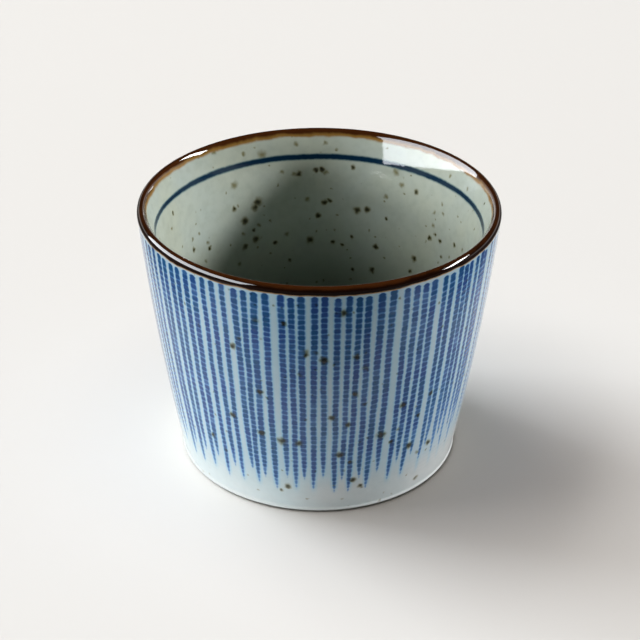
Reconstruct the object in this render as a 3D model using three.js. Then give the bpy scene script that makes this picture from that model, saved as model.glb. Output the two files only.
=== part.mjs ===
// A soba choko cup: a tapered stoneware cup turned on the wheel, its glaze coats, its iron-brown lip
// and the cobalt line inside. Millimetres, +Z up, the origin in the middle of the foot on the table.
import * as THREE from "three";

// The fired cup
const HEIGHT = 65.2;
const RIM_DIAMETER = 85;
const FOOT_DIAMETER = 67.8; // where the line of the wall meets the table
const WALL_BULGE = 0.8; // how far the wall swells outside a straight taper
const WALL_THICKNESS = 4.6;
const LIP_THICKNESS = 2.2;
const LIP_ROUND = 1.35; // height of the rounded lip above the wall
const FLARE_DEPTH = 16; // the stretch below the lip in which the wall thins towards it
const FLOOR_THICKNESS = 5.2;
const FLOOR_ROUND = 10; // curve between the wall and the floor inside

// The turned foot
const FOOT_EDGE_ROUND = 1.2;
const FOOT_RING_WIDTH = 4; // the bare flat face that the cup stands on
const FOOT_RECESS = 2.2; // depth of the hollow inside the foot ring
const RECESS_ROUND = 1.6;

// Coats and painted line
const GLAZE_THICKNESS = 0.4;
const COAT_GAP = 0.05; // keeps a coat clear of the clay and of the next coat
const BARE_FOOT = 0.5; // height of the clay left bare at the foot
const LIP_BAND = 0.5; // how far the brown glaze runs down the wall past the rounded lip
const BASE_MARGIN = 0.5; // clay left bare round the glaze in the foot
const LINE_DEPTH = 6.6; // from the top of the lip to the middle of the line
const LINE_WIDTH = 1.5;
const LINE_THICKNESS = 0.1;

// Facets
const SIDES = 64;
const WALL_STEPS = 5;
const FLARE_STEPS = 4;
const ROUND_STEPS = 4;
const LIP_STEPS = 6;

const { lerp, clamp } = THREE.MathUtils;
const LIP_START = HEIGHT - LIP_ROUND;
const BAND_EDGE = LIP_START - LIP_BAND;
const FLARE_START = LIP_START - FLARE_DEPTH;
const FLOOR_LEVEL = FOOT_RECESS + FLOOR_THICKNESS;
const BEND_START = FLOOR_LEVEL + FLOOR_ROUND;
const FOOT_OUTER_RADIUS = FOOT_DIAMETER / 2 - FOOT_EDGE_ROUND;
const FOOT_INNER_RADIUS = FOOT_OUTER_RADIUS - FOOT_RING_WIDTH;
const COAT = GLAZE_THICKNESS + COAT_GAP; // from the finished surface to the clay

// Radius of the finished outside at a height.
function outside(z) {
  const t = z / LIP_START;
  return lerp(FOOT_DIAMETER, RIM_DIAMETER, t) / 2 + 4 * WALL_BULGE * t * (1 - t);
}

// Radius of the finished inside at a height: the wall thins towards the lip.
function inside(z) {
  const flare = clamp((z - FLARE_START) / FLARE_DEPTH, 0, 1);
  return outside(z) - lerp(WALL_THICKNESS, LIP_THICKNESS, flare * flare);
}

// Points up a wall, at a depth below its finished surface.
function wall(radiusAt, depth, low, high, steps) {
  const points = [];
  for (let i = 0; i <= steps; i++) {
    const z = lerp(low, high, i / steps);
    points.push(new THREE.Vector2(radiusAt(z) + depth, z));
  }
  return points;
}

// Points down the inside from a height to the middle of the floor, at a depth below the finished surface.
function lining(depth, top) {
  const floor = FLOOR_LEVEL - depth;
  const corner = new THREE.Vector2(inside(FLOOR_LEVEL) + depth, floor);
  const bend = new THREE.QuadraticBezierCurve(
    new THREE.Vector2(inside(BEND_START) + depth, BEND_START),
    corner,
    new THREE.Vector2(corner.x - FLOOR_ROUND, floor),
  );
  return [
    ...wall(inside, depth, FLARE_START, top, FLARE_STEPS).reverse(),
    ...wall(inside, depth, BEND_START, FLARE_START, WALL_STEPS).reverse().slice(1, -1),
    ...bend.getPoints(ROUND_STEPS),
    new THREE.Vector2(0, floor),
  ];
}

// Points over the lip from outside to inside, at a depth below the finished surface.
function lip(depth) {
  const middle = (outside(LIP_START) + inside(LIP_START)) / 2;
  const halfWidth = LIP_THICKNESS / 2 - depth;
  return new THREE.EllipseCurve(middle, LIP_START, halfWidth, LIP_ROUND - depth, 0, Math.PI)
    .getPoints(LIP_STEPS);
}

// The clay: hollow under the foot, foot ring, outer wall, lip, inner wall and floor.
function clayProfile() {
  const ceiling = FOOT_RECESS + COAT;
  const recess = new THREE.QuadraticBezierCurve(
    new THREE.Vector2(FOOT_INNER_RADIUS - RECESS_ROUND, ceiling),
    new THREE.Vector2(FOOT_INNER_RADIUS, ceiling),
    new THREE.Vector2(FOOT_INNER_RADIUS, 0),
  );
  const edge = new THREE.QuadraticBezierCurve(
    new THREE.Vector2(FOOT_OUTER_RADIUS, 0),
    new THREE.Vector2(outside(0) - COAT, 0),
    new THREE.Vector2(outside(FOOT_EDGE_ROUND) - COAT, FOOT_EDGE_ROUND),
  );
  return [
    new THREE.Vector2(0, ceiling),
    ...recess.getPoints(ROUND_STEPS),
    ...edge.getPoints(ROUND_STEPS),
    ...wall(outside, -COAT, FOOT_EDGE_ROUND, LIP_START, WALL_STEPS).slice(1, -1),
    ...lip(COAT),
    ...lining(COAT, LIP_START).slice(1),
  ];
}

function closed(points) {
  return [...points, points[0].clone()];
}

// The coat ends just above the table in a rounded bead.
function outerGlazeProfile() {
  const top = BAND_EDGE - COAT_GAP;
  const beadTop = BARE_FOOT + GLAZE_THICKNESS;
  const bead = new THREE.QuadraticBezierCurve(
    new THREE.Vector2(outside(BARE_FOOT) - GLAZE_THICKNESS, BARE_FOOT),
    new THREE.Vector2(outside(BARE_FOOT), BARE_FOOT),
    new THREE.Vector2(outside(beadTop), beadTop),
  );
  return closed([
    ...bead.getPoints(ROUND_STEPS),
    ...wall(outside, 0, beadTop, top, WALL_STEPS).slice(1),
    ...wall(outside, -GLAZE_THICKNESS, BARE_FOOT, top, WALL_STEPS).slice(1).reverse(),
  ]);
}

// The brown coat bends over the lip like an upturned channel.
function rimGlazeProfile() {
  const outer = new THREE.Vector2(outside(BAND_EDGE), BAND_EDGE);
  const inner = new THREE.Vector2(inside(BAND_EDGE), BAND_EDGE);
  return closed([
    outer,
    ...lip(0),
    inner,
    new THREE.Vector2(inner.x + GLAZE_THICKNESS, BAND_EDGE),
    ...lip(GLAZE_THICKNESS).reverse(),
    new THREE.Vector2(outer.x - GLAZE_THICKNESS, BAND_EDGE),
  ]);
}

const LINE_LOW = HEIGHT - LINE_DEPTH - LINE_WIDTH / 2;
const LINE_HIGH = LINE_LOW + LINE_WIDTH;

// The lining has a shallow groove that the cobalt line lies in.
function innerGlazeProfile() {
  const top = BAND_EDGE - COAT_GAP;
  const low = LINE_LOW - COAT_GAP;
  const high = LINE_HIGH + COAT_GAP;
  const groove = LINE_THICKNESS + COAT_GAP;
  return [
    ...lining(GLAZE_THICKNESS, top).reverse(),
    new THREE.Vector2(inside(top), top),
    new THREE.Vector2(inside(high), high),
    new THREE.Vector2(inside(high) + groove, high),
    new THREE.Vector2(inside(low) + groove, low),
    ...lining(0, low),
  ];
}

function lineProfile() {
  return closed([
    ...wall(inside, LINE_THICKNESS, LINE_LOW, LINE_HIGH, 1),
    ...wall(inside, 0, LINE_LOW, LINE_HIGH, 1).reverse(),
  ]);
}

// The pool of glaze in the foot stays inside the curve of the recess.
function baseGlazeProfile() {
  const radius = FOOT_INNER_RADIUS - RECESS_ROUND - BASE_MARGIN;
  const face = FOOT_RECESS;
  return [
    new THREE.Vector2(0, face),
    new THREE.Vector2(radius - GLAZE_THICKNESS, face),
    new THREE.Vector2(radius, face + GLAZE_THICKNESS / 2),
    new THREE.Vector2(radius, face + GLAZE_THICKNESS),
    new THREE.Vector2(0, face + GLAZE_THICKNESS),
  ];
}

const clay = new THREE.MeshStandardMaterial({ color: 0xc9bda9, roughness: 0.85, metalness: 0 });
const paleGlaze = new THREE.MeshStandardMaterial({ color: 0xb6c4c4, roughness: 0.12, metalness: 0 });
const brownGlaze = new THREE.MeshStandardMaterial({ color: 0x41200f, roughness: 0.12, metalness: 0 });
const cobalt = new THREE.MeshStandardMaterial({ color: 0x0b2f5c, roughness: 0.15, metalness: 0 });

const cup = new THREE.Group();
cup.rotation.x = Math.PI / 2; // a lathe turns about Y, and the cup stands along Z

function turn(name, profile, material) {
  const mesh = new THREE.Mesh(new THREE.LatheGeometry(profile, SIDES), material);
  mesh.name = name;
  cup.add(mesh);
}

turn("clay_body", clayProfile(), clay);
turn("outer_glaze", outerGlazeProfile(), paleGlaze);
turn("inner_glaze", innerGlazeProfile(), paleGlaze);
turn("rim_glaze", rimGlazeProfile(), brownGlaze);
turn("base_glaze", baseGlazeProfile(), paleGlaze);
turn("ring_line", lineProfile(), cobalt);

const part = new THREE.Group();
part.add(cup);

export default part;
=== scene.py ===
# The view: the camera looks down on the cup from the front with a long lens, as the photograph
# does. It stands first, because the painted strokes and the iron specks are placed where the
# photograph shows them.
import math

import bpy
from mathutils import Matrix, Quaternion, Vector


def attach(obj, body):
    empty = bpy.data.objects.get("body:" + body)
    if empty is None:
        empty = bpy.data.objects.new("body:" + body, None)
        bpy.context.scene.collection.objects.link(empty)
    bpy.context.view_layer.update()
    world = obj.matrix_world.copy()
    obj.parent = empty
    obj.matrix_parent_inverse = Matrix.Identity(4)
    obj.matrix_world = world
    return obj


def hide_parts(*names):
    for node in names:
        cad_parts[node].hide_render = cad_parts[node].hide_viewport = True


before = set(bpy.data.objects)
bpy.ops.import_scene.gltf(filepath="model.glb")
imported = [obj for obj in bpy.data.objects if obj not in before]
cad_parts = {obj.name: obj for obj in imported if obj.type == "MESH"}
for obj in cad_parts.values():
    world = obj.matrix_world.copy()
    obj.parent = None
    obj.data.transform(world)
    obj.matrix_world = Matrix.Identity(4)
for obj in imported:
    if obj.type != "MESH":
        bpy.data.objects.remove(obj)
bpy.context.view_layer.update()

photo_size = 640
lens = 90
sensor = 36
elevation = math.radians(30.57)
distance = 0.3906
roll = math.radians(0.37)
aim = Vector((0.0003, 0, 0.0326))
sight = Vector((0, math.cos(elevation), -math.sin(elevation)))
view_turn = sight.to_track_quat("-Z", "Y") @ Quaternion((0, 0, 1), roll)

bpy.ops.object.select_all(action="DESELECT")
bpy.ops.object.camera_add(location=aim - sight * distance, rotation=view_turn.to_euler())
camera = bpy.context.object
camera.data.lens = lens
camera.data.sensor_width = sensor
bpy.context.scene.camera = camera


# The clay body: buff stoneware thrown on the wheel, its foot turned when leather-hard. The coats
# of glaze cover it but for the foot ring that it stands on, which is matt and finely sandy.
height = 0.0652
rim_diameter = 0.085
foot_diameter = 0.0678
wall_bulge = 0.0008
wall_thickness = 0.0046
lip_thickness = 0.0022
lip_round = 0.00135
flare_depth = 0.016
floor_thickness = 0.0052
floor_round = 0.01
foot_edge_round = 0.0012
foot_ring_width = 0.004
foot_recess = 0.0022
recess_round = 0.0016
glaze_thickness = 0.0004
coat_gap = 0.00005
clay_colour = (0.50, 0.37, 0.24, 1)
clay_dark = (0.33, 0.21, 0.12, 1)
grit_colour = (0.11, 0.06, 0.03, 1)
glaze_film = (0.55, 0.56, 0.54, 1)
clay_roughness = 0.85
glaze_roughness = 0.05
clay_clouds = (0.35, 0.75)
grit_edge = (0.16, 0.08)
grit_share = 0.8

# Millimetres in a metre: the materials, and what they show, are in millimetres.
mm = 1000
film_inset = 0.3
film_reach = 0.2
grain_height = 0.05
sand_height = 0.03

# How far the fired cup is out of true, as shares of its radius and as the rise of its lip, and the
# angle in radians at which each wave starts.
oval = 0.0026
oval_turn = 0.7
three_sided = 0.0012
three_sided_turn = -0.4
lip_wave = 0.0001
lip_wave_turn = -1.1

# How finely the pieces are turned.
sides = 256
weld = 0.000002
sharp_angle = math.radians(35)
lean_step = 0.0002

coat = glaze_thickness + coat_gap
lip_start = height - lip_round
flare_start = lip_start - flare_depth
floor_level = foot_recess + floor_thickness
bend_start = floor_level + floor_round
foot_outer_radius = foot_diameter / 2 - foot_edge_round
foot_inner_radius = foot_outer_radius - foot_ring_width


def between(a, b, t):
    return a + (b - a) * t


def outside(z):
    """Radius of the finished outside at a height."""
    t = z / lip_start
    return between(foot_diameter, rim_diameter, t) / 2 + 4 * wall_bulge * t * (1 - t)


def inside(z):
    """Radius of the finished inside at a height: the wall thins towards the lip."""
    flare = min(max((z - flare_start) / flare_depth, 0), 1)
    return outside(z) - between(wall_thickness, lip_thickness, flare * flare)


def up_wall(radius_at, depth, low, high, steps):
    """Points up a wall, moved out by a depth."""
    levels = [between(low, high, i / steps) for i in range(steps + 1)]
    return [(radius_at(z) + depth, z) for z in levels]


def curve(start, corner, end, steps=12):
    """Points of a rounded corner from start to end."""
    points = []
    for i in range(steps + 1):
        t = i / steps
        first = [between(a, b, t) for a, b in zip(start, corner)]
        second = [between(a, b, t) for a, b in zip(corner, end)]
        points.append(tuple(between(a, b, t) for a, b in zip(first, second)))
    return points


def down_lining(depth, top):
    """Points down the inside from a height to the middle of the floor, below the finished face."""
    level = floor_level - depth
    corner = (inside(floor_level) + depth, level)
    start = (inside(bend_start) + depth, bend_start)
    wall = up_wall(inside, depth, bend_start, top, steps=40)[::-1]
    bend = curve(start, corner, (corner[0] - floor_round, level), steps=16)
    return wall + bend[1:] + [(0, level)]


def over_lip(depth, steps=24):
    """Points over the lip from outside to inside, below the finished face; the inside leans out."""
    middle = (outside(lip_start) + inside(lip_start)) / 2
    half = lip_thickness / 2 - depth
    rise = lip_round - depth
    turns = [math.pi * i / steps for i in range(steps // 2 + 1)]
    points = [(middle + half * math.cos(a), lip_start + rise * math.sin(a)) for a in turns]
    lean = (inside(lip_start) - inside(lip_start - lean_step)) / lean_step
    corner = (middle - half + lean * rise, lip_start + rise)
    return points + curve(points[-1], corner, (middle - half, lip_start), steps // 2)[1:]


def turn(name, profile):
    """Spin a profile of radius and height once round the cup's axis."""
    radius, level = profile[0]
    bpy.ops.object.select_all(action="DESELECT")
    bpy.ops.mesh.primitive_plane_add(size=0.001)
    piece = bpy.context.object
    piece.name = name
    piece.data.name = name
    bpy.ops.object.mode_set(mode="EDIT")
    bpy.ops.mesh.merge(type="CENTER")
    bpy.ops.transform.translate(value=(radius, 0, level))
    for (r0, z0), (r1, z1) in zip(profile, profile[1:]):
        move = (r1 - r0, 0, z1 - z0)
        bpy.ops.mesh.extrude_region_move(TRANSFORM_OT_translate={"value": move})
    bpy.ops.mesh.select_all(action="SELECT")
    bpy.ops.mesh.spin(steps=sides, angle=math.tau, center=(0, 0, 0), axis=(0, 0, 1))
    bpy.ops.mesh.select_all(action="SELECT")
    bpy.ops.mesh.remove_doubles(threshold=weld)
    bpy.ops.mesh.normals_make_consistent(inside=False)
    bpy.ops.object.mode_set(mode="OBJECT")
    bpy.ops.object.shade_smooth_by_angle(angle=sharp_angle)
    return piece


def settle(piece):
    """Leave the turned shape a little out of true, alike in every coat."""
    for vertex in piece.data.vertices:
        x, y, z = vertex.co
        angle = math.atan2(y, x)
        rise = z / height
        swell = oval * rise * rise * math.sin(2 * angle + oval_turn)
        swell += three_sided * rise * math.sin(3 * angle + three_sided_turn)
        vertex.co.x = x * (1 + swell)
        vertex.co.y = y * (1 + swell)
        vertex.co.z = z + lip_wave * rise ** 6 * math.sin(2 * angle + lip_wave_turn)


class Value:
    """A node's output in a Python expression: each operator adds a Math node."""

    def __init__(self, finish, socket):
        self.finish = finish
        self.socket = socket

    def other(self, output):
        return Value(self.finish, self.socket.node.outputs[output])

    def __add__(self, other):
        return self.finish.math("ADD", self, other)

    def __sub__(self, other):
        return self.finish.math("SUBTRACT", self, other)

    def __rsub__(self, other):
        return self.finish.math("SUBTRACT", other, self)

    def __mul__(self, other):
        return self.finish.math("MULTIPLY", self, other)

    def __truediv__(self, other):
        return self.finish.math("DIVIDE", self, other)

    __radd__ = __add__
    __rmul__ = __mul__


class Nodes:
    """The nodes of a material or of the room."""

    def __init__(self, tree):
        self.tree = tree

    def node(self, kind, settings=None, sockets=None, output=0):
        made = self.tree.nodes.new("ShaderNode" + kind)
        for name, setting in (settings or {}).items():
            setattr(made, name, setting)
        for name, value in (sockets or {}).items():
            if isinstance(value, Value):
                self.tree.links.new(value.socket, made.inputs[name])
            else:
                made.inputs[name].default_value = value
        return Value(self, made.outputs[output])

    def math(self, operation, *values):
        return self.node("Math", {"operation": operation}, dict(enumerate(values)))

    def vector(self, operation, *values, output=0, **sockets):
        sockets.update(enumerate(values))
        return self.node("VectorMath", {"operation": operation}, sockets, output)

    def noise(self, place, scale, detail, output="Fac"):
        return self.node("TexNoise", {}, {"Vector": place, "Scale": scale, "Detail": detail}, output)

    def waver(self, place, scale, detail, width):
        """A noise that strays to both sides of 0, over a width."""
        return (self.noise(place, scale, detail) - 0.5) * width

    def soft(self, value, low, high):
        """A soft step from 0 at low to 1 at high."""
        sockets = {0: value, 1: low, 2: high}
        return self.node("MapRange", {"interpolation_type": "SMOOTHSTEP"}, sockets)

    def steps(self, value, stops):
        """A colour that changes sharply at each stop, given as its place and its colour."""
        made = self.node("ValToRGB", {}, {0: value})
        ramp = made.socket.node.color_ramp
        ramp.interpolation = "CONSTANT"
        for i, (place, colour) in enumerate(stops):
            stop = ramp.elements[0] if i == 0 else ramp.elements.new(place)
            stop.color = colour
        ramp.elements.remove(ramp.elements[len(stops)])
        return made

    def mix(self, a, b, share, blend="MIX"):
        return self.node("Mix", {"data_type": "RGBA", "blend_type": blend}, {0: share, 6: a, 7: b}, 2)


class Finish(Nodes):
    """A material with one shader, whose nodes read the place on the piece in millimetres."""

    def __init__(self, name, roughness=glaze_roughness):
        self.material = bpy.data.materials.new(name)
        self.material.use_nodes = True
        super().__init__(self.material.node_tree)
        self.shader = self.tree.nodes["Principled BSDF"]
        self.shader.inputs["Roughness"].default_value = roughness
        metres = self.node("TexCoord", output="Object")
        self.place = self.vector("SCALE", metres, Scale=mm)
        self.x = self.node("SeparateXYZ", {}, {0: self.place})
        self.y = self.x.other("Y")
        self.z = self.x.other("Z")

    def from_axis(self):
        """The distance from the cup's axis in millimetres."""
        level = self.vector("MULTIPLY", self.place, (1, 1, 0))
        return self.vector("LENGTH", level, output="Value")

    def feed(self, socket, value):
        self.tree.links.new(value.socket, self.shader.inputs[socket])

    def bump(self, rise):
        """Raise the surface by a height in millimetres."""
        self.feed("Normal", self.node("Bump", {}, {"Height": rise, "Distance": 1 / mm}))


ceiling = foot_recess + coat
clay_profile = [(0, ceiling)]
clay_profile += curve(
    (foot_inner_radius - recess_round, ceiling), (foot_inner_radius, ceiling), (foot_inner_radius, 0)
)
clay_profile += curve(
    (foot_outer_radius, 0),
    (outside(0) - coat, 0),
    (outside(foot_edge_round) - coat, foot_edge_round),
)
clay_profile += up_wall(outside, -coat, foot_edge_round, lip_start, steps=24)[1:-1]
clay_profile += over_lip(coat)
clay_profile += down_lining(coat, lip_start)[1:]
clay_body = turn("clay_body_piece", clay_profile)
settle(clay_body)

bare_clay = Finish("bare_stoneware", clay_roughness)
clay_grain = bare_clay.noise(bare_clay.place, scale=0.35, detail=5)
clay_sand = bare_clay.noise(bare_clay.place, scale=4, detail=3)
clay_grit = bare_clay.node(
    "TexVoronoi", {}, {"Vector": bare_clay.place, "Scale": 1.1}, "Distance"
)
clay_tone = bare_clay.mix(clay_colour, clay_dark, bare_clay.soft(clay_grain, *clay_clouds))
clay_tone = bare_clay.mix(clay_tone, grit_colour, bare_clay.soft(clay_grit, *grit_edge) * grit_share)
ring_edge = foot_outer_radius * mm
edge_film = bare_clay.soft(bare_clay.from_axis(), ring_edge - film_inset, ring_edge + film_reach)
clay_tone = bare_clay.mix(clay_tone, glaze_film, edge_film)
bare_clay.feed("Base Color", clay_tone)
bare_clay.bump(clay_sand * sand_height + clay_grain * grain_height)
clay_body.data.materials.append(bare_clay.material)
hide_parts("clay_body")
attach(clay_body, "root")


# The outer glaze: a pale blue-grey coat with iron specks, melted on to the clay and gathered in a
# bead just above the table, with a highlight painted on the bead and light painted over the band
# above it. Under it stand two turns of hand-painted cobalt strokes, long and short by turns, broken
# into beads by the fine lines left on the turned wall.
bare_foot = 0.0005
bead_swell = 0.00024
bead_climb = 0.0007
lip_band = 0.0005
ridge = 0.000012
pale_blue = (0.50, 0.62, 0.65, 1)
pale_grey = (0.57, 0.61, 0.62, 1)
glaze_shade = (0.41, 0.49, 0.51, 1)
painted_highlight_white = (0.76, 0.78, 0.77, 1)
wash_blue = (0.28, 0.52, 0.68, 1)
thin_cobalt = (0.10, 0.25, 0.52, 1)
deep_cobalt = (0.017, 0.062, 0.225, 1)
teal_cobalt = (0.012, 0.078, 0.200, 1)
speck_core = (0.04, 0.05, 0.06, 1)
speck_halo = (0.34, 0.27, 0.10, 1)
amber = (0.27, 0.145, 0.035, 1)
pale_amber = (0.40, 0.26, 0.14, 1)
warm_brown = (0.052, 0.0145, 0.003, 1)
dark_brown = (0.010, 0.0028, 0.001, 1)
cloud_edge = (0.3, 0.7)
glaze_mottle = (0.3, 0.75)
mottle_share = 0.25
swell_height = 0.02
pitting_height = 0.0025

# The turned lines: how many stand in a millimetre, how they crowd, and the heights in millimetres
# between which they rise and die away.
lines_per_mm = 0.794
lines_crowd = 0.00082
lines_rise = (4, 8)
lines_die = (61, 59)

# Painted light at the foot: heights in millimetres of the highlight painted on the bead and of the
# lighter band painted over it, and their shares of white.
bead_highlight_heights = (2.2, 1.0)
bead_highlight_share = 0.35
band_light_heights = (9, 3)
band_light_share = 0.2

# The specks: how far their outlines drift in millimetres, and the reach of each colour as a share of
# a speck's half width. Dark specks by chance stand only where the photograph doesn't show the glaze.
speck_drift = 0.8
stain_reach = (1.9, 0.1)
halo_reach = (2.2, 0.6)
core_reach = (1.5, 0.2)
stain_share = 0.85
speck_share = 0.9
chance_fineness = 12
chance_kept_off = 9
back_of_cup = (-4, 6)

# The brown, in millimetres down from the top of the lip: more of it runs down outside, where its edge
# is smoother and sharper. The reaches of the amber and the brown are shares of the fade.
iron_drop = 1.4
drop_outside = 0.35
iron_fade = 0.95
fade_outside = -0.65
iron_frill = 0.6
frill_outside = -0.25
pool_depth = (1.8, 1.1)
amber_reach = (-0.7, 0.05)
brown_reach = (0.0, 0.9)

# The strokes: pairs round the cup, the number of the first one in the photograph, where the cells
# start, and the seeds and the column of noise that each stroke reads.
stroke_pairs = 52
first_stroke = -45
cell_start = 0.25
hand_seeds = (3.1, 8.7)
column_step = 7.3
column_shift = 50
column_pace = 0.09

# Millimetres: where the strokes start and end, how far one strays from the next, how wide they are,
# and how they thin at the tips. Those on the right end higher.
stroke_top = 63.2
top_spread = 0.8
long_tip = 6.0
short_tip = 9.8
tip_spread = 2.0
right_side = (8, 30)
right_lift = 3.5
place_spread = 1.2
lean_pivot = 62
lean_spread = 0.014
half_width = 0.77
width_spread = 0.22
width_at_foot = 0.73
width_gain = 0.0043
crown_length = 0.5
tip_length = 5.0
tip_thins = (11, 2)
tip_loss = 0.3
stroke_edge = (0.3, -0.28)
hairline = (0.05, 0.3)

# The beads of a stroke, as shares: how far they narrow at their ends and how pale the gaps are. The
# first gap is in millimetres below the top.
bead_spread = 0.3
bead_waist = 0.15
gap_edge = (0.46, 0.98)
first_gap = (0.9, 2.6)
gap_least = 0.35
gap_clouds = (0.25, 0.6)
gap_depth = 0.45

# The paint, as shares of its full strength, and in millimetres where the brush ran dry, how far the
# wash runs beside a stroke and from what height the glaze is tinted.
ink_least = 0.66
ink_by_bead = 0.2
ink_by_load = 0.24
load_clouds = (0.3, 0.7)
hue_clouds = (0.35, 0.65)
dry_side = (18, 31)
dry_heights = (36, 10)
dry_tip = (7, 0)
dry_tip_share = 0.6
ink_lost = 0.6
wash_lost = 0.7
wash_reach = (1.0, 0.0)
wash_over_top = 0.4
wash_top = (0.0, 0.8)
wash_foot = (-0.5, 3)
wash_share = 0.9
tinted_heights = (7, 14)
tinted_share = 0.4
thin_ink = (0.0, 0.5)
deep_ink = (0.28, 0.92)

# Pixel across, pixel down and width in millimetres of each speck in the photograph.
outer_specks = [
    (233, 346, 1.1), (233, 415, 1.2), (282, 441, 1.5), (299, 443, 1.3), (288, 486, 1.1),
    (281, 490, 0.7), (324, 361, 1.4), (344, 313, 1.4), (284, 324, 0.9), (306, 355, 0.9),
    (357, 357, 1.2), (355, 394, 1.1), (403, 405, 1.3), (418, 415, 1.0), (431, 393, 1.0),
    (381, 435, 1.6), (332, 418, 1.0), (348, 425, 1.0), (340, 455, 1.4), (409, 445, 1.3),
    (428, 442, 1.2), (353, 480, 1.1), (360, 486, 1.0), (415, 478, 1.0), (379, 500, 0.6),
    (213, 435, 1.0), (262, 433, 1.2), (260, 392, 1.1), (391, 442, 0.9), (350, 462, 0.8),
]
outer_stains = [
    (306, 352, 1.3), (316, 353, 1.0), (366, 368, 1.2), (255, 320, 1.2), (239, 338, 1.0),
    (300, 375, 0.9), (365, 404, 1.0), (398, 429, 1.0), (226, 450, 0.9), (417, 452, 1.0),
]

# Pixel across and down near the top of each stroke that the photograph shows, from left to right.
stroke_tops = [
    (149.5, 248), (153.5, 251), (159, 256), (163.5, 260), (170.5, 264), (176.5, 267), (184.7, 274),
    (192.5, 277), (202, 282), (211, 284), (221.8, 290), (234, 296), (243, 297), (253, 297),
    (265, 302), (281, 300), (290.8, 301), (300.8, 302), (314.5, 302), (324.8, 303), (338, 305),
    (349.8, 303), (360.2, 303), (369.5, 302), (382.5, 299), (393.8, 299), (408, 295), (418, 290),
    (427.2, 288), (435, 285), (446.5, 282), (453.2, 279), (461.5, 275), (467, 272), (471.5, 269),
    (478, 262), (483, 257), (486.5, 251), (492, 246),
]

band_edge = lip_start - lip_band


def rows(z):
    """Turned lines counted from the foot up to a height in millimetres; they crowd at the foot."""
    return z * lines_per_mm - z * z * lines_crowd


def from_photo(across, down, radius_at, far):
    """The place in millimetres that a pixel shows on the near or the far side of a wall."""
    pixel = Vector((across - photo_size / 2, photo_size / 2 - down, -photo_size * lens / sensor))
    ray = (view_turn @ pixel).normalized()
    eye = camera.location
    nearest = -(eye.x * ray.x + eye.y * ray.y) / (ray.x ** 2 + ray.y ** 2)
    past_the_cup = 0.08
    halvings = 40
    inner = nearest
    outer = nearest + (past_the_cup if far else -past_the_cup)
    for _ in range(halvings):
        middle = (inner + outer) / 2
        spot = eye + ray * middle
        if spot.xy.length < radius_at(spot.z):
            inner = middle
        else:
            outer = middle
    return (eye + ray * inner) * mm


def glaze_tone(finish):
    """The bare glaze: blue-grey, greyer in soft clouds, with a faint darker mottle."""
    clouds = finish.noise(finish.place, scale=0.045, detail=3)
    mottle = finish.noise(finish.place, scale=0.5, detail=4)
    tone = finish.mix(pale_blue, pale_grey, finish.soft(clouds, *cloud_edge))
    return finish.mix(tone, glaze_shade, finish.soft(mottle, *glaze_mottle) * mottle_share)


def on_wall(specks, radius_at, far):
    """Where the specks of the photograph lie on a wall, in millimetres, and their widths."""
    return [(from_photo(x, y, radius_at, far), width) for x, y, width in specks]


def with_specks(finish, tone, specks, stains, unseen):
    """The photograph's specks and stains, tiny stains all over, and chance specks out of its sight."""
    drift = finish.noise(finish.place, scale=0.9, detail=0, output="Color")
    drift = finish.vector("SUBTRACT", drift, (0.5, 0.5, 0.5))
    place = finish.vector("MULTIPLY_ADD", drift, (speck_drift,) * 3, finish.place)

    def by_chance(scale):
        cells = {"Vector": place, "Scale": scale}
        return finish.node("TexVoronoi", {}, cells, "Distance") * chance_fineness

    def nearest(spots, others):
        found = others
        for centre, width in spots:
            gap = finish.vector("DISTANCE", place, centre, output="Value") * (2 / width)
            found = finish.math("MINIMUM", gap, found)
        return found

    dark = nearest(specks, by_chance(scale=0.16) + (1 - unseen) * chance_kept_off)
    olive = nearest(stains, by_chance(scale=0.3))
    tone = finish.mix(tone, speck_halo, finish.soft(olive, *stain_reach) * stain_share, "MULTIPLY")
    tone = finish.mix(tone, speck_halo, finish.soft(dark, *halo_reach) * speck_share, "MULTIPLY")
    return finish.mix(tone, speck_core, finish.soft(dark, *core_reach) * speck_share, "MULTIPLY")


def with_iron(finish, tone, outer):
    """The brown of the lip over a glaze: amber at its thin edge, dark where it pools outside."""
    wander = finish.waver(finish.place, scale=0.16, detail=2, width=1.0)
    ragged = iron_frill + outer * frill_outside
    frill = finish.waver(finish.place, scale=0.42, detail=2, width=ragged)
    drop = iron_drop + outer * drop_outside
    edge = height * mm - drop + wander + frill
    depth = finish.z - edge
    fade = iron_fade + outer * fade_outside
    thin = finish.mix(amber, pale_amber, outer)
    tone = finish.mix(tone, thin, finish.soft(depth / fade, *amber_reach))
    pooled = finish.soft(depth, *pool_depth) * outer
    brown = finish.mix(warm_brown, dark_brown, pooled)
    return finish.mix(tone, brown, finish.soft(depth / fade, *brown_reach))


def stroke_shifts():
    """How far each stroke of the photograph is from an even spacing, as a share of that spacing."""
    shifts = {}
    for i, (across, down) in enumerate(stroke_tops):
        spot = from_photo(across, down, outside, far=False)
        place = math.atan2(spot.y, spot.x) / math.tau * 2 * stroke_pairs
        shifts[first_stroke + i] = place - (first_stroke + i + 0.5)
    return shifts


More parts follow.
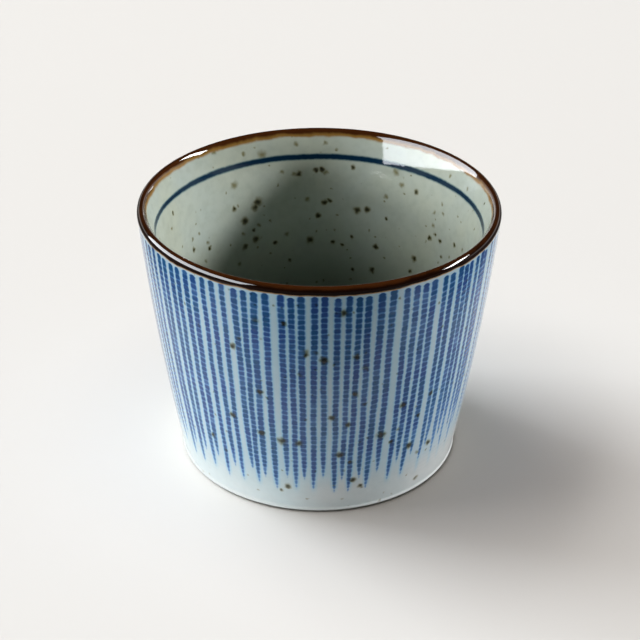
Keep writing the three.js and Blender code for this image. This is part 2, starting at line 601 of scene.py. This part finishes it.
def strokes(finish, shift, tip):
    """Ink and wash of every second stroke round the wall, down to a mean height of its tip."""
    z = finish.z
    angle = finish.math("ARCTAN2", finish.y, finish.x)
    cell = angle * (stroke_pairs / math.tau) + shift - cell_start
    whole = finish.math("FLOOR", cell)
    number = finish.math("FLOORED_MODULO", whole, stroke_pairs)
    by_hand = []
    for seed in hand_seeds:
        key = finish.node("CombineXYZ", {}, {0: number, 1: shift + seed})
        chance = finish.node("TexWhiteNoise", {"noise_dimensions": "2D"}, {"Vector": key}, "Color")
        part = finish.node("SeparateXYZ", {}, {0: chance})
        by_hand += [part - 0.5, part.other("Y") - 0.5, part.other("Z") - 0.5]
    placed, leant, topped, tipped, beaded, widened = by_hand

    # The ramp's red is the place of the stroke in its cell, and its blue says that it isn't seen.
    shifts = stroke_shifts()
    unseen = (0.5, 0, 1, 1)
    stops = [(0, unseen)]
    for turn_number in range(stroke_pairs):
        slot = 2 * (turn_number - stroke_pairs - shift) + 1
        if slot in shifts:
            stops.append(((turn_number - 0.5) / stroke_pairs, (0.5 + shifts[slot] / 2, 0, 0, 1)))
            end_of_seen = (turn_number + 0.5) / stroke_pairs
    stops.append((end_of_seen, unseen))
    seen = finish.node("SeparateXYZ", {}, {0: finish.steps(number / stroke_pairs, stops)})

    # Each stroke reads its own column of noise, far from the columns of the others.
    column = {0: number * column_step, 1: shift * column_shift, 2: z * column_pace}
    path = finish.node("CombineXYZ", {}, column)
    sway = leant * (lean_pivot - z) * lean_spread + finish.waver(path, scale=1.0, detail=1, width=0.6)
    sway = sway + placed * seen.other("Z") * place_spread
    side = (cell - whole - seen) * finish.from_axis() * (math.tau / stroke_pairs) - sway
    wobble = finish.waver(finish.place, scale=1.3, detail=2, width=0.22)
    off = finish.math("ABSOLUTE", side) + wobble

    start = stroke_top + topped * top_spread
    end = tip + tipped * tip_spread + finish.soft(finish.x, *right_side) * right_lift
    crown = finish.math("SQRT", finish.node("MapRange", {}, {0: start - z, 1: 0, 2: crown_length}))
    taper = finish.math("SQRT", finish.node("MapRange", {}, {0: z - end, 1: 0, 2: tip_length}))
    taper = taper * (1 - finish.soft(z - end, *tip_thins) * tip_loss)
    drawn = finish.waver(finish.place, scale=0.07, detail=1, width=1.2)
    uneven = finish.waver(finish.place, scale=0.45, detail=1, width=0.55)
    line = finish.math("FRACT", rows(z) + drawn + uneven + beaded * bead_spread)
    line = finish.math("ABSOLUTE", line - 0.5) * 2
    half = (half_width + widened * width_spread) * (width_at_foot + z * width_gain) * crown * taper
    half = half * (1 - line * line * bead_waist)
    cover = finish.soft(off - half, *stroke_edge) * finish.soft(half, *hairline)
    faint = finish.soft(finish.noise(finish.place, scale=0.8, detail=1), *gap_clouds)
    gap = finish.soft(line, *gap_edge) * finish.soft(start - z, *first_gap)
    gap = gap * (gap_least + faint * (1 - gap_least))

    bead = finish.node("CombineXYZ", {}, {0: number + shift, 1: finish.math("FLOOR", rows(z))})
    strength = finish.node("TexWhiteNoise", {"noise_dimensions": "2D"}, {"Vector": bead}, "Value")
    loaded = finish.soft(finish.noise(path, scale=2.2, detail=2), *load_clouds)
    dry = finish.soft(finish.x, *dry_side) * finish.soft(z, *dry_heights)
    dry = finish.math("MAXIMUM", dry, finish.soft(z - end, *dry_tip) * dry_tip_share)
    paint = ink_least + strength * ink_by_bead + loaded * ink_by_load
    ink = cover * (1 - gap * gap_depth) * paint * (1 - dry * ink_lost)
    wash = finish.soft(off - half, *wash_reach) * finish.soft(start + wash_over_top - z, *wash_top)
    wash = wash * (1 - dry * wash_lost)
    return ink, wash * finish.soft(z, tip + wash_foot[0], tip + wash_foot[1])


def with_strokes(finish, tone):
    """Two turns of cobalt strokes on a glaze."""
    long_ink, long_wash = strokes(finish, shift=0.0, tip=long_tip)
    short_ink, short_wash = strokes(finish, shift=0.5, tip=short_tip)
    ink = finish.math("MAXIMUM", long_ink, short_ink)
    wash = finish.math("MAXIMUM", long_wash, short_wash)
    hue = finish.soft(finish.noise(finish.place, scale=0.14, detail=2), *hue_clouds)
    deep = finish.mix(deep_cobalt, teal_cobalt, hue)
    tinted = finish.soft(finish.z, *tinted_heights) * tinted_share
    tone = finish.mix(tone, wash_blue, finish.math("MAXIMUM", wash * wash_share, tinted))
    tone = finish.mix(tone, thin_cobalt, finish.soft(ink, *thin_ink))
    return finish.mix(tone, deep, finish.soft(ink, *deep_ink))


def ridged(z):
    """Radius of the outside with its fine turned lines and the swell of the bead at its foot."""
    level = z * mm
    shown = 1
    for none, full in (lines_rise, lines_die):
        shown *= min(max((level - none) / (full - none), 0), 1)
    climb = min((z - bead_top) / bead_climb, 1)
    bead = bead_swell * (1 + math.cos(math.pi * climb)) / 2
    return outside(z) + bead + ridge * shown * math.cos(math.tau * rows(level))


def ripple(finish):
    """Height in millimetres of the glaze's gentle unevenness."""
    swells = finish.noise(finish.place, scale=0.35, detail=2) * swell_height
    return swells + finish.noise(finish.place, scale=2.2, detail=2) * pitting_height


bead_top = bare_foot + glaze_thickness
outer_profile = curve(
    (outside(bare_foot) - glaze_thickness, bare_foot),
    (ridged(bead_top), bare_foot),
    (ridged(bead_top), bead_top),
)
outer_profile += up_wall(ridged, 0, bead_top, 2 * bead_top, steps=24)[1:]
outer_profile += up_wall(ridged, 0, 2 * bead_top, band_edge, steps=280)[1:]
outer_profile += up_wall(outside, -glaze_thickness, bare_foot, band_edge, steps=12)[::-1]
outer_glaze = turn("outer_glaze_piece", outer_profile)
settle(outer_glaze)

outer_finish = Finish("glaze_with_strokes")
outer_tone = with_strokes(outer_finish, glaze_tone(outer_finish))
unseen_side = outer_finish.soft(outer_finish.y, *back_of_cup)
spots = on_wall(outer_specks, outside, far=False)
blots = on_wall(outer_stains, outside, far=False)
outer_tone = with_specks(outer_finish, outer_tone, spots, blots, unseen_side)
# Painted highlight on the bead, and painted light over the band above it.
painted_bead_highlight = outer_finish.soft(outer_finish.z, *bead_highlight_heights) * bead_highlight_share
painted_band_light = outer_finish.soft(outer_finish.z, *band_light_heights) * band_light_share
outer_tone = outer_finish.mix(outer_tone, painted_highlight_white, painted_bead_highlight + painted_band_light)
outer_tone = with_iron(outer_finish, outer_tone, outer=1)
outer_finish.feed("Base Color", outer_tone)
outer_finish.bump(ripple(outer_finish))
outer_glaze.data.materials.append(outer_finish.material)
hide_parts("outer_glaze")
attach(outer_glaze, "root")


# The inner glaze: the same coat as a lining, greyer and greener, wall and floor in one. A shallow
# groove of it holds the cobalt line below the lip.
line_depth = 0.0066
line_width = 0.0015
line_thickness = 0.0001
lining_green = (0.46, 0.50, 0.415, 1)
lining_grey = (0.43, 0.49, 0.45, 1)
lining_shade = (0.31, 0.35, 0.30, 1)
lining_painted_shade = (0.16, 0.19, 0.155, 1)
line_cobalt = (0.002, 0.020, 0.050, 1)
line_edge = (0.05, 0.14, 0.17, 1)
lining_clouds = (0.3, 0.7)
lining_mottle = (0.35, 0.8)
mottle_inside = 0.35

# Millimetres: the heights over which shade is painted into the lining, darker towards the floor, the
# part of it that the photograph shows, and how much the line widens, and thins to the left and the
# right.
painted_shade_heights = (47, 22)
shown_depths = (-14, -8)
shown_heights = (18, 24)
line_swell = 0.06
left_end = (-28, -38)
left_thins = 0.16
right_end = (26, 38)
right_thins = 0.1
line_fringe = (0.98, 0.45)
fringe_share = 0.85
line_core = (0.72, 0.3)

# Pixels and widths of the specks and stains of the lining, as for the outside.
inner_specks = [
    (299, 174, 1.1), (316, 170, 1.0), (322, 169, 1.1), (258, 202, 1.7), (255, 207, 1.5),
    (234, 209, 1.0), (245, 221, 1.5), (173, 213, 0.7), (254, 230, 0.8), (256, 239, 1.4),
    (245, 247, 1.2), (275, 243, 0.9), (310, 240, 1.4), (318, 215, 1.1), (353, 167, 0.9),
    (324, 202, 1.2), (329, 201, 0.9), (357, 210, 1.4), (367, 210, 1.2), (386, 219, 0.8),
    (416, 192, 1.0), (435, 235, 0.8), (429, 238, 1.0), (440, 241, 0.9), (454, 245, 0.9),
    (376, 247, 1.0), (333, 242, 0.9), (342, 245, 0.8), (352, 237, 0.7), (414, 259, 1.1),
    (441, 257, 0.7), (372, 270, 1.1), (353, 269, 0.8), (410, 271, 0.9), (484, 204, 0.6),
    (290, 260, 0.8), (210, 248, 0.8), (194, 250, 0.9),
]
inner_stains = [
    (214, 152, 1.1), (243, 154, 1.0), (262, 155, 1.9), (296, 144, 1.1), (325, 143, 0.9),
    (282, 172, 1.1), (294, 174, 1.2), (326, 172, 1.1), (234, 185, 1.7), (172, 229, 0.8),
    (199, 234, 0.7), (193, 239, 0.8), (208, 243, 0.9), (206, 261, 0.8), (243, 234, 1.0),
    (259, 225, 0.9), (287, 234, 1.0), (239, 264, 1.0), (307, 199, 1.2), (402, 185, 1.2),
    (386, 197, 1.0), (396, 172, 1.6), (434, 213, 1.0), (442, 204, 0.8), (443, 214, 0.8),
    (433, 225, 1.1), (462, 250, 0.9), (449, 257, 0.7), (450, 176, 0.8), (467, 189, 0.8),
]

line_low = height - line_depth - line_width / 2
line_high = line_low + line_width


def lining_tone(finish, lowest):
    """The lining with shade painted darker low down, specks and the cobalt line, for a piece from its
    lowest height in millimetres.
    """
    clouds = finish.noise(finish.place, scale=0.06, detail=3)
    mottle = finish.noise(finish.place, scale=0.45, detail=4)
    tone = finish.mix(lining_green, lining_grey, finish.soft(clouds, *lining_clouds))
    tone = finish.mix(tone, lining_shade, finish.soft(mottle, *lining_mottle) * mottle_inside)
    # Painted shade: the lining darkens towards the floor, where the inside of the cup lies in shade.
    tone = finish.mix(tone, lining_painted_shade, finish.soft(finish.z, *painted_shade_heights))
    hidden = 1 - finish.soft(finish.y, *shown_depths) * finish.soft(finish.z, *shown_heights)
    spots = [spot for spot in on_wall(inner_specks, inside, far=True) if spot[0].z > lowest]
    blots = [spot for spot in on_wall(inner_stains, inside, far=True) if spot[0].z > lowest]
    tone = with_specks(finish, tone, spots, blots, hidden)
    sway = finish.waver(finish.place, scale=0.09, detail=2, width=0.5)
    ragged = finish.waver(finish.place, scale=0.9, detail=2, width=0.25)
    middle = (height - line_depth) * mm
    off = finish.math("ABSOLUTE", finish.z - middle - sway) + ragged - line_swell
    off = off + finish.soft(finish.x, *left_end) * left_thins
    off = off + finish.soft(finish.x, *right_end) * right_thins
    tone = finish.mix(tone, line_edge, finish.soft(off, *line_fringe) * fringe_share)
    return finish.mix(tone, line_cobalt, finish.soft(off, *line_core))


inner_profile = down_lining(glaze_thickness, band_edge)[::-1]
inner_profile += up_wall(inside, 0, line_high, band_edge, steps=12)[::-1]
inner_profile += up_wall(inside, line_thickness, line_low, line_high, steps=4)[::-1]
inner_profile += down_lining(0, line_low)
inner_glaze = turn("inner_glaze_piece", inner_profile)
settle(inner_glaze)

inner_finish = Finish("glaze_lining")
inner_tone = lining_tone(inner_finish, lowest=0)
inner_finish.feed("Base Color", with_iron(inner_finish, inner_tone, outer=0))
inner_finish.bump(ripple(inner_finish))
inner_glaze.data.materials.append(inner_finish.material)
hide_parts("inner_glaze")
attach(inner_glaze, "root")


# The ring line: one turn of the brush round the inside below the lip, deep cobalt under the glaze.
# It fills its groove flush, and its soft edges run on into the lining.
line_profile = up_wall(inside, line_thickness, line_low, line_high, steps=4)
line_profile += up_wall(inside, 0, line_low, line_high, steps=4)[::-1]
line_profile.append(line_profile[0])
ring_line = turn("ring_line_piece", line_profile)
settle(ring_line)

line_finish = Finish("cobalt_under_glaze")
line_finish.feed("Base Color", lining_tone(line_finish, lowest=54))
line_finish.bump(ripple(line_finish))
ring_line.data.materials.append(line_finish.material)
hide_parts("ring_line")
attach(ring_line, "root")


# The rim glaze: iron brown brushed on to the lip, over the edge and a little way down both sides.
# It melts into the pale glaze, amber where it is thin.
lip_blend = 0.5
rim_profile = up_wall(outside, 0, band_edge, lip_start, steps=6)[:-1]
rim_profile += over_lip(0, steps=32)
rim_profile += up_wall(inside, 0, band_edge, lip_start, steps=6)[::-1][1:]
rim_profile += up_wall(inside, glaze_thickness, band_edge, lip_start, steps=2)[:-1]
rim_profile += over_lip(glaze_thickness, steps=12)[::-1]
rim_profile += up_wall(outside, -glaze_thickness, band_edge, lip_start, steps=2)[::-1][1:]
rim_profile.append(rim_profile[0])
rim_glaze = turn("rim_glaze_piece", rim_profile)
settle(rim_glaze)

rim_finish = Finish("iron_brown_glaze")
lip_middle = (outside(lip_start) + inside(lip_start)) / 2 * mm
outer_side = rim_finish.soft(rim_finish.from_axis(), lip_middle - lip_blend, lip_middle + lip_blend)
rim_tone = rim_finish.mix(lining_tone(rim_finish, lowest=62), glaze_tone(rim_finish), outer_side)
rim_finish.feed("Base Color", with_iron(rim_finish, rim_tone, outer_side))
rim_finish.bump(ripple(rim_finish))
rim_glaze.data.materials.append(rim_finish.material)
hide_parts("rim_glaze")
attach(rim_glaze, "root")


# The base glaze: the shallow pool of pale glaze in the hollow under the foot, wiped back from the
# ring so that the cup doesn't stick to the kiln shelf.
base_margin = 0.0005
base_radius = foot_inner_radius - recess_round - base_margin
base_profile = [(0, foot_recess), (base_radius / 2, foot_recess)]
base_profile += curve(
    (base_radius - glaze_thickness, foot_recess),
    (base_radius, foot_recess),
    (base_radius, foot_recess + glaze_thickness),
)
base_profile += [(0, foot_recess + glaze_thickness)]
base_glaze = turn("base_glaze_piece", base_profile)
settle(base_glaze)

base_finish = Finish("glaze_under_foot")
base_tone = with_specks(base_finish, glaze_tone(base_finish), [], [], unseen=1)
base_finish.feed("Base Color", base_tone)
base_finish.bump(ripple(base_finish))
base_glaze.data.materials.append(base_finish.material)
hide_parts("base_glaze")
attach(base_glaze, "root")


# The stage: a pale board under the cup, on a dark bench that shows in the gloss. Softboxes on the left
# and a strip on the right light the cup, and a panel on the left shows only in its gloss. Other lamps
# light only the board. To the camera all the ground and the distance are pale.
ground_colour = (0.60, 0.593, 0.574, 1)
bench_colour = (0.05, 0.05, 0.05, 1)
distance_colour = (0.871, 0.863, 0.831, 1)
room_colour = (0.01, 0.01, 0.01, 1)
table_width = 30

# The board fades into the bench between these places, in millimetres from the middle of the cup.
board_front = (-105, -55)
board_left = (-118, -84)
board_right = (118, 84)

# Directions in which the pale distance shows in the gloss: towards the back, and low down.
towards_back = (0, 0.25)
low_down = (0.26, 0.12)

# Each lamp: its bearing, rise, span and roll in degrees, its radiance and its tint.
tall_box = {"towards": 185, "rise": 30, "span": (12, 40), "radiance": 15}
low_box = {"towards": 209, "rise": 8.5, "span": (26, 13), "radiance": 15}
right_strip = {"towards": 5, "rise": 25, "span": (28, 9), "radiance": 47, "roll": 36}
left_panel = {"towards": 186.5, "rise": 19, "span": (79, 36), "radiance": 11.5, "tint": (0.95, 1, 1.06)}
board_key = {"towards": 154, "rise": 25, "span": (32, 15), "radiance": 22.9, "tint": (0.94, 1, 1.05)}
board_high = {"towards": 160, "rise": 57, "span": (50, 24), "radiance": 6.0}
board_top = {"towards": 232, "rise": 79, "span": (60, 60), "radiance": 1.72, "tint": (1, 0.91, 0.85)}
lamp_distance = 12.0

bpy.ops.object.select_all(action="DESELECT")
bpy.ops.mesh.primitive_plane_add(size=table_width)
table = bpy.context.object
table.name = "table"
table_finish = Finish("pale_board")
table_finish.tree.nodes.remove(table_finish.shader)
seen = table_finish.node("LightPath", output="Is Camera Ray")
across_board = table_finish.soft(table_finish.x, *board_left)
across_board = across_board * table_finish.soft(table_finish.x, *board_right)
on_board = table_finish.soft(table_finish.y, *board_front) * across_board
pale_here = table_finish.math("MAXIMUM", on_board, seen)
table_tone = table_finish.mix(bench_colour, ground_colour, pale_here)
surface = table_finish.node("BsdfDiffuse", {}, {"Color": table_tone})
table_out = table_finish.tree.nodes["Material Output"]
table_finish.tree.links.new(surface.socket, table_out.inputs["Surface"])
table.data.materials.append(table_finish.material)


def hang_lamp(name, towards, rise, span, radiance, lit, roll=0, tint=(1, 1, 1)):
    """An area lamp that faces the cup from a bearing and a rise in degrees, for what it lights."""
    bearing = math.radians(towards)
    climb = math.radians(rise)
    reach = math.cos(climb)
    ray = Vector((reach * math.cos(bearing), reach * math.sin(bearing), math.sin(climb)))
    facing = (-ray).to_track_quat("-Z", "Y") @ Quaternion((0, 0, 1), math.radians(roll))
    bpy.ops.object.light_add(type="AREA", location=ray * lamp_distance, rotation=facing.to_euler())
    lamp = bpy.context.object
    lamp.name = name
    lamp.data.shape = "RECTANGLE"
    lamp.data.color = tint
    lamp.data.size = 2 * lamp_distance * math.tan(math.radians(span[0] / 2))
    lamp.data.size_y = 2 * lamp_distance * math.tan(math.radians(span[1] / 2))
    lamp.data.energy = radiance * math.pi * lamp.data.size * lamp.data.size_y
    lamp.visible_camera = False
    lamp.light_linking.receiver_collection = bpy.data.collections.new(name + "_lights")
    for piece in lit:
        lamp.light_linking.receiver_collection.objects.link(piece)
    return lamp


cup = [clay_body, outer_glaze, inner_glaze, ring_line, rim_glaze, base_glaze]
for lamp in (tall_box, low_box):
    hang_lamp("softbox", **lamp, lit=cup).visible_glossy = False
hang_lamp("right_strip", **right_strip, lit=cup)
hang_lamp("left_panel", **left_panel, lit=cup).visible_diffuse = False
for lamp in (board_key, board_high, board_top):
    hang_lamp("board_lamp", **lamp, lit=[table])

world = bpy.data.worlds.new("room")
world.use_nodes = True
bpy.context.scene.world = world
room = Nodes(world.node_tree)
dark = room.tree.nodes["Background"]
dark.inputs["Color"].default_value = room_colour
pale = room.node("Background", {}, {"Color": distance_colour})
ray_kind = room.node("LightPath", output="Is Camera Ray")
sideways = room.node("SeparateXYZ", {}, {0: room.node("TexCoord", output="Generated")})
behind_board = room.soft(sideways.other("Y"), *towards_back)
behind_board = behind_board * room.soft(sideways.other("Z"), *low_down)
shown = room.math("MAXIMUM", ray_kind, ray_kind.other("Is Glossy Ray") * behind_board)
sky = room.node("MixShader", {}, {0: shown, 1: Value(room, dark.outputs[0]), 2: pale})
room.tree.links.new(sky.socket, room.tree.nodes["World Output"].inputs["Surface"])

bpy.context.scene.view_settings.view_transform = "Standard"
